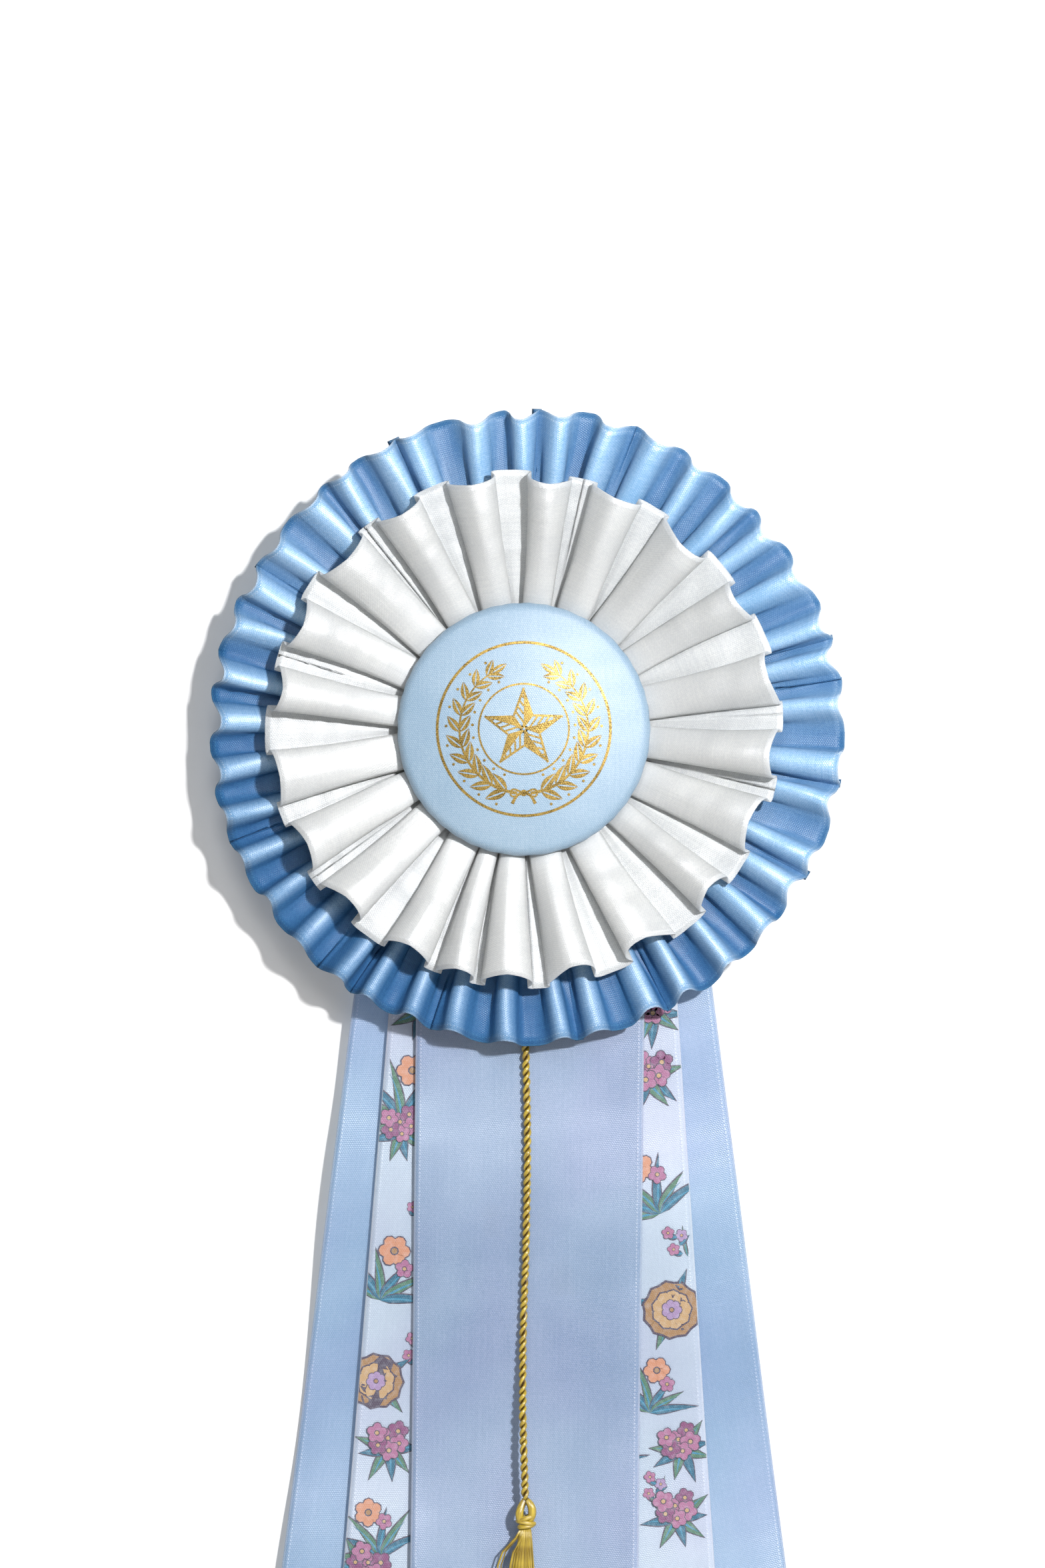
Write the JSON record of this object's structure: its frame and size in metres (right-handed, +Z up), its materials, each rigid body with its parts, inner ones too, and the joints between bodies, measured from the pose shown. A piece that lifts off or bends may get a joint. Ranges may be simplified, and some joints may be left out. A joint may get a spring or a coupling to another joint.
{
  "type": "award ribbon",
  "caption": "Award rosette: a satin-covered button on two pleated satin ruffles, with ribbon tails, a twisted cord with a tassel, and a bar pin on the back card.",
  "frame": {"origin": "middle of the bar pin's stem, where the garment or board it is pinned to holds it", "axes": "+Z up, from the tails' ends to the top of the ruffles; the face looks along -Y and the back card along +Y; +X to the viewer's right when facing it"},
  "size_m": [0.145, 0.0286, 0.3345],
  "materials": {
    "button_satin": "satin",
    "white_satin": "satin",
    "blue_satin": "satin",
    "outer_satin": "satin",
    "center_satin": "satin",
    "printed_satin": "satin",
    "gold_cord": "satin",
    "gold_foil": "satin",
    "sprig_ink": "satin",
    "white_thread": "matt",
    "blue_thread": "matt",
    "tinplate": "satin",
    "staple_wire": "satin",
    "nickel": "polished",
    "card": "matt",
    "foam": "matt",
    "glue": "satin"
  },
  "bodies": {
    "rosette": {"button_cover": "button_satin", "button_shell": "tinplate", "button_back_plate": "tinplate", "white_ruffle": "white_satin", "blue_ruffle": "blue_satin", "white_ruffle_stitching": "white_thread", "blue_ruffle_stitching": "blue_thread", "front_card": "card", "back_card": "card", "ruffle_staple_1": "staple_wire", "ruffle_staple_2": "staple_wire", "ruffle_staple_3": "staple_wire", "ruffle_staple_4": "staple_wire", "tail_staple_left": "staple_wire", "tail_staple_right": "staple_wire", "tail_outer_left_heading": "outer_satin", "tail_outer_right_heading": "outer_satin", "tail_printed_left_heading": "printed_satin", "tail_printed_right_heading": "printed_satin", "tail_center_heading": "center_satin", "cord_glue_dab": "glue", "cord_upper": "gold_cord", "pin_pad": "foam", "pin_bar": "nickel", "pin_rivet": "nickel"},
    "tail_center": {"tail_center": "center_satin"},
    "tail_printed_left": {"tail_printed_left": "printed_satin"},
    "tail_printed_right": {"tail_printed_right": "printed_satin"},
    "tail_outer_left": {"tail_outer_left": "outer_satin"},
    "tail_outer_right": {"tail_outer_right": "outer_satin"},
    "cord": {"cord_lower": "gold_cord", "cord_knot": "gold_cord"},
    "tassel": {"tassel": "gold_cord"},
    "pin_stem": {"pin_stem": "nickel"},
    "pin_catch": {"pin_catch": "nickel"}
  },
  "joints": [
    {"name": "tail_center_lift", "type": "hinge", "parent": "rosette", "child": "tail_center", "pos_m": [0, -0.0098, -0.087], "axis": [-1, 0, 0], "range_deg": [0, 70]},
    {"name": "tail_printed_left_lift", "type": "hinge", "parent": "rosette", "child": "tail_printed_left", "pos_m": [0, -0.00875, -0.087], "axis": [-1, 0, 0], "range_deg": [0, 42]},
    {"name": "tail_printed_right_lift", "type": "hinge", "parent": "rosette", "child": "tail_printed_right", "pos_m": [0, -0.00875, -0.087], "axis": [-1, 0, 0], "range_deg": [0, 42]},
    {"name": "tail_outer_left_lift", "type": "hinge", "parent": "rosette", "child": "tail_outer_left", "pos_m": [0, -0.00735, -0.087], "axis": [-1, 0, 0], "range_deg": [0, 21]},
    {"name": "tail_outer_right_lift", "type": "hinge", "parent": "rosette", "child": "tail_outer_right", "pos_m": [0, -0.00735, -0.087], "axis": [-1, 0, 0], "range_deg": [0, 21]},
    {"name": "cord_lift", "type": "hinge", "parent": "rosette", "child": "cord", "pos_m": [0, -0.0098, -0.087], "axis": [-1, 0, 0], "range_deg": [0, 70]},
    {"name": "tassel_swing", "type": "hinge", "parent": "cord", "child": "tassel", "pos_m": [0.0004, -0.0131, -0.19335], "axis": [0, 1, 0], "range_deg": [-35, 35]},
    {"name": "pin_stem_open", "type": "hinge", "parent": "rosette", "child": "pin_stem", "pos_m": [-0.0136, 0, 0], "axis": [0, 0, 1], "range_deg": [0, 70]},
    {"name": "pin_catch_turn", "type": "hinge", "parent": "rosette", "child": "pin_catch", "pos_m": [0.0126, 0, 0], "axis": [-1, 0, 0], "range_deg": [0, 110]}
  ],
  "couplings": [
    {"joint": "cord_lift", "follows": "tail_center_lift", "ratio": 1},
    {"joint": "tail_printed_left_lift", "follows": "tail_center_lift", "ratio": 0.6},
    {"joint": "tail_outer_left_lift", "follows": "tail_center_lift", "ratio": 0.3},
    {"joint": "tail_printed_right_lift", "follows": "tail_center_lift", "ratio": 0.6},
    {"joint": "tail_outer_right_lift", "follows": "tail_center_lift", "ratio": 0.3}
  ]
}
